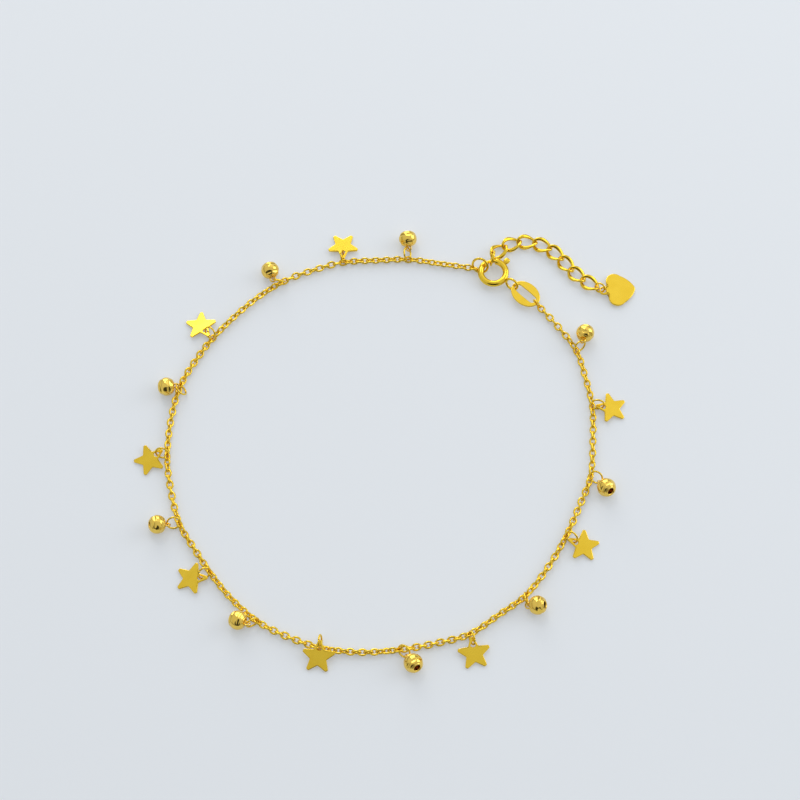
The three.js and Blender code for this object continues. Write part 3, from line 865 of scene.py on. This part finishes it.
# %% End rings on the clasp
END_RINGS = [  # name, radius, wire, clasp angle, heading, lean, offset
    ("end_ring", 1.42, 0.45, 152, 158, -30, 0.4),
    ("extension_ring", 1.3, 0.44, 96, 78, -8, 0.45),
]
END_CUT_TURN = 75
end_rings = []
for name, radius, wire, angle, ring_heading, lean, offset in END_RINGS:
    axes = leaning(ring_heading, lean)
    height = radius * math.cos(math.radians(lean)) + wire / 2 + CLEARANCE
    centre = (CLASP.middle * LEVEL + UP * height + CLASP.radius * heading(angle)
              + offset * heading(ring_heading))
    surface = ring_surface(Sizes(radius=radius, wire=wire), (*axes, centre), END_CUT_TURN)
    end_rings.append(make_piece("wire_" + name, surface, WIRE_GOLD, name))
print(len(end_rings), "end rings, boxes off by", worst_shift(*end_rings), "mm")

# %% [markdown]
# ## Oval tag
# A flat oval with a long slot joins the clasp's eye to the chain. It would carry a fineness
# stamp on the real anklet, and stays plain here. Both its outline and its slot are seen
# whole from its middle, so the two loops share one angle.

# %% Oval tag with its slot
OVAL = Sizes(length=5.8, width=4.4, thickness=0.34, soft=0.1, steps=72)
OVAL_SLOT = Sizes(length=4.6, width=1.5, spread=2.2)
OVAL_HEADING = -43.7
OVAL_PLACE = np.array([24.8, 28.0, 0.88])


def oval_plate():
    """An ellipse, and a slot with straight sides and half circles, followed by the same angles."""
    angle = circle(OVAL.steps)
    outline = around(angle) * [OVAL.length / 2, OVAL.width / 2]
    straight = (OVAL_SLOT.length - OVAL_SLOT.width) / 2
    middle = straight * np.clip(OVAL_SLOT.spread * np.cos(angle), -1, 1)
    slot = OVAL_SLOT.width / 2 * around(angle) + stacked(middle, 0)
    return plate_surface(outline, slot, OVAL.thickness, OVAL.soft)


oval_place = (heading(OVAL_HEADING), heading(OVAL_HEADING + 90), UP,
              OVAL_PLACE + UP * OVAL.thickness / 2)
oval = stamped_piece("oval_plate", oval_plate(), oval_place, "oval_tag")
print("oval tag, box off by", worst_shift(oval), "mm")

# %% [markdown]
# ## Extension chain and heart
# Eight larger links let the wearer choose the length. Each is twisted so that it lies face
# up, and they follow their own smooth route. A small ring carries the heart, which is a
# plate like the stars: two round lobes, sides that run to a blunt point, and a tab with the
# hole.

# %% Extension links
CURB = {"a": 1.74, "b": 1.25, "wire": 0.52, "steps": 44, "sides": 12, "twist": 42.0, "widen": 0.24}
CURB_ROW = Sizes(first=1.525, pitch=2.87, count=8)
EXTENSION_ROUTE = [
    (19.18, 35.66, 1.1), (20.2, 36.85, 0.88), (22.5, 38.3, 0.75), (25.3, 38.7, 0.73),
    (28.1, 38.0, 0.73), (30.4, 36.4, 0.73), (34.2, 32.0, 0.73), (37.6, 29.5, 0.73),
]
curb_points, curb_faces = wire_loop(**CURB)
curb_places = CURB_ROW.first + CURB_ROW.pitch * np.arange(CURB_ROW.count)
curb_centres, curb_ways = along_route(*smooth_route(EXTENSION_ROUTE), curb_places)
curbs = []
for number, (centre, along) in enumerate(zip(curb_centres, curb_ways), start=1):
    across = unit(np.cross(UP, along))
    surface = laid(curb_points, along, across, np.cross(along, across), centre), curb_faces
    name = f"extension_link_{number}"
    curbs.append(make_piece("curb_" + name, surface, WIRE_GOLD, name))
print(len(curbs), "extension links, boxes off by", worst_shift(*curbs), "mm")

# %% Ring of the heart
HEART_RING = Sizes(radius=0.86, wire=0.34, hook=0.37)
HEART_HANG = {"ring_heading": -28, "lean": 34, "charm_heading": 7, "hole_height": 0.7}
last_loop = curb_centres[-1] + curb_ways[-1] * (CURB_ROW.first - HEART_RING.hook)
ring_place, heart_hole = hang(HEART_RING, last_loop, **HEART_HANG)[:2]
surface = ring_surface(HEART_RING, ring_place)
heart_ring = make_piece("heart_jump_ring", surface, WIRE_GOLD, "heart_ring")
print("heart's ring, box off by", worst_shift(heart_ring), "mm")

# %% Heart, with the hole's middle as its origin and its point towards +x
HEART = Sizes(length=5.6, thickness=0.42, soft=0.13, tab=0.8, hole=0.5)
HEART_LOBE = Sizes(radius=1.6, x=2.3, end=45.0)
HEART_POINT = Sizes(reach=0.38, blunt=0.65)
HEART_SIDE = np.array([4.85, 1.95])
HEART_STEPS = Sizes(point=5, side=12, lobe=26, tab=12)
HEART_RIM = {"seen_from": 1.0, "corner": 126.0, "share": 40.0}


def bow_steps(start, control, stop, steps):
    """Points of a parabola in even steps, less its last."""
    t = np.linspace(0, 1, steps, endpoint=False)[:, None]
    return bow(*np.array([start, control, stop]), t)


def heart_plate():
    """Upper half from the point over the side and the lobe to the tab's end, and its mirror."""
    length, tab, lobe, blunt = HEART.length, HEART.tab, HEART_LOBE.radius, HEART_POINT.blunt
    tip = length + HEART_POINT.reach / 2
    meet = math.pi + math.asin((lobe - tab) / lobe)
    lobe_angle = circle(HEART_STEPS.lobe, math.radians(HEART_LOBE.end), meet, endpoint=True)
    over_lobe = [HEART_LOBE.x, lobe] + lobe * around(lobe_angle)
    tab_angle = circle(HEART_STEPS.tab, math.pi / 2, math.pi)
    upper = np.vstack([
        bow_steps((tip, 0), (tip, blunt / 2), (length, blunt), HEART_STEPS.point),
        bow_steps((length, blunt), HEART_SIDE, over_lobe[0], HEART_STEPS.side),
        over_lobe,
        tab * around(tab_angle),
        [(-tab, 0.0)],
    ])
    outline = np.vstack([upper, (upper[1:-1] * [1, -1])[::-1]])
    rim = rim_of_hole(outline, HEART.hole, **HEART_RIM)
    return plate_surface(outline, rim, HEART.thickness, HEART.soft)


heart_place = flat_axes(HEART_HANG["charm_heading"], heart_hole, HEART.length, HEART.thickness)
heart = stamped_piece("heart_plate", heart_plate(), heart_place, "heart_tag")
print("heart, box off by", worst_shift(heart), "mm")

# %% [markdown]
# ## Floor
# The anklet lies on a plain pale surface, slightly cool in tone, with a very faint
# unevenness. The real one lets light in and scatters it, so the shadows under the beads
# are weak. Scattering inside the sheet would be slow to work out, so the sheet is darker
# than it looks and a faint glow makes up for it, also in the shadows.

# %% Pale floor
FLOOR_HALF = 2.0
FLOOR_LOOK = {"Base Color": (0.545, 0.573, 0.604, 1.0), "Roughness": 0.7,
              "Emission Color": (0.80, 0.84, 0.885, 1.0), "Emission Strength": 0.29}
FLOOR_GRAIN = {"Scale": 900.0, "Detail": 3.0}
FLOOR_BUMP = {"Strength": 0.05, "Distance": 1e-4}
paper = bpy.data.materials.new("pale_floor")
paper.use_nodes = True
paper_tree = paper.node_tree
paper_shader = paper_tree.nodes["Principled BSDF"]
for label, value in FLOOR_LOOK.items():
    paper_shader.inputs[label].default_value = value
grain = add_node(paper_tree, "TexNoise", **FLOOR_GRAIN)
bump = add_node(paper_tree, "Bump", [(grain.outputs["Fac"], "Height")], **FLOOR_BUMP)
paper_tree.links.new(bump.outputs["Normal"], paper_shader.inputs["Normal"])
floor_mesh = bpy.data.meshes.new("floor")
floor_corners = [(-1, -1, 0), (1, -1, 0), (1, 1, 0), (-1, 1, 0)]
floor_mesh.from_pydata((FLOOR_HALF * np.array(floor_corners)).tolist(), [], [(0, 1, 2, 3)])
floor_mesh.materials.append(paper)
floor = bpy.data.objects.new("floor", floor_mesh)
bpy.context.scene.collection.objects.link(floor)
print("floor", 2 * FLOOR_HALF, "m across")

# %% [markdown]
# ## Light
# The picture was taken in a bright room with soft light from above and behind. Gold only
# looks like gold when it has something darker to mirror. So the sky here is brightest to
# the back and the right, falls off towards the horizon, and has one dim patch in front,
# where a viewer would stand. The beads' scoops mirror that patch as dark dashes. A broad
# light low at the back, a small bright window above it and a light on the right give the
# bright streaks on wires and beads. A picture of a studio could light the scene too, but
# a few ramps and lamps can be read and changed one by one.

# %% Sky
BRIGHTEST = (0.30, 0.60, 0.74)
DIMMEST = (0.0, -0.86, 0.51)
SKY_STOPS = [
    (0.0, (0.66, 0.67, 0.68, 1)), (0.50, (0.74, 0.75, 0.76, 1)), (0.82, (0.68, 0.69, 0.70, 1)),
    (0.97, (0.98, 0.98, 0.97, 1)),
]
DUSK = {"From_Min": 0.0, "From_Max": 0.42, "To_Min": 0.45, "To_Max": 1.0}
DIM_PATCH = {"From_Min": 0.80, "From_Max": 0.92, "To_Min": 1.0, "To_Max": 0.07}


def towards(tree, direction, axis):
    """Cosine of the angle between a linked direction and an axis."""
    dot = add_node(tree, "VectorMath", [(direction, 0)], operation="DOT_PRODUCT")
    dot.inputs[1].default_value = axis
    return dot.outputs["Value"]


def eased(tree, value, limits):
    """Carries a linked value from one range to another by a smooth step."""
    return add_node(tree, "MapRange", [(value, "Value")], interpolation_type="SMOOTHSTEP",
                    **limits).outputs["Result"]


world = bpy.data.worlds.new("soft_room")
bpy.context.scene.world = world
world.use_nodes = True
sky = world.node_tree
direction = add_node(sky, "TexCoord").outputs["Generated"]
fade = add_node(sky, "ValToRGB", [(towards(sky, direction, BRIGHTEST), "Fac")])
stops = fade.color_ramp.elements
for stop, (position, colour) in zip(stops, (SKY_STOPS[0], SKY_STOPS[-1])):
    stop.position, stop.color = position, colour
for position, colour in SKY_STOPS[1:-1]:
    stops.new(position).color = colour
height = add_node(sky, "SeparateXYZ", [(direction, "Vector")]).outputs["Z"]
dusk = eased(sky, height, DUSK)
dim = eased(sky, towards(sky, direction, DIMMEST), DIM_PATCH)
strength = add_node(sky, "Math", [(dusk, 0), (dim, 1)], operation="MULTIPLY")
background = sky.nodes["Background"]
sky.links.new(fade.outputs["Color"], background.inputs["Color"])
sky.links.new(strength.outputs["Value"], background.inputs["Strength"])
print("sky in", len(SKY_STOPS), "steps towards", BRIGHTEST, "with a dim patch at", DIMMEST)

# %% Broad lights
LIGHTS = [  # name, place in metres, size in metres, watts, colour
    ("back_light", (-0.10, 0.64, 0.20), 0.50, 1.6, (1.0, 0.98, 0.95)),
    ("window_light", (-0.175, 0.534, 0.727), 0.20, 0.63, (1.0, 0.99, 0.97)),
    ("side_fill", (0.50, 0.16, 0.24), 0.36, 0.8, (0.97, 0.98, 1.0)),
]
for name, place, size, watts, colour in LIGHTS:
    lamp = bpy.data.lights.new(name, "AREA")
    lamp.size = size
    lamp.energy = watts
    lamp.color = colour
    light = bpy.data.objects.new(name, lamp)
    light.location = place
    light.rotation_euler = Vector(place).to_track_quat("Z", "Y").to_euler()
    bpy.context.scene.collection.objects.link(light)
bpy.context.scene.view_settings.view_transform = "Standard"
print("lights", [row[0] for row in LIGHTS])

# %% [markdown]
# ## Camera
# The camera looks along +Y from well above, as in the picture. Its distance and angle of
# view were found by matching the known shape of the eight stars.

# %% Camera
CAMERA = Sizes(target=np.array([1.85, 8.35, 0.0]), elevation=67.0, distance=318.0, angle=25.0)
NEAREST = 0.01
elevation = math.radians(CAMERA.elevation)
back = np.array([0.0, -math.cos(elevation), math.sin(elevation)])
lens = bpy.data.cameras.new("camera")
lens.angle = math.radians(CAMERA.angle)
lens.clip_start = NEAREST
camera = bpy.data.objects.new("camera", lens)
camera.location = (CAMERA.target + CAMERA.distance * back) * MM
camera.rotation_euler = (math.pi / 2 - elevation, 0.0, 0.0)
bpy.context.scene.collection.objects.link(camera)
bpy.context.scene.camera = camera
print("camera at", np.round(np.array(camera.location), 3).tolist())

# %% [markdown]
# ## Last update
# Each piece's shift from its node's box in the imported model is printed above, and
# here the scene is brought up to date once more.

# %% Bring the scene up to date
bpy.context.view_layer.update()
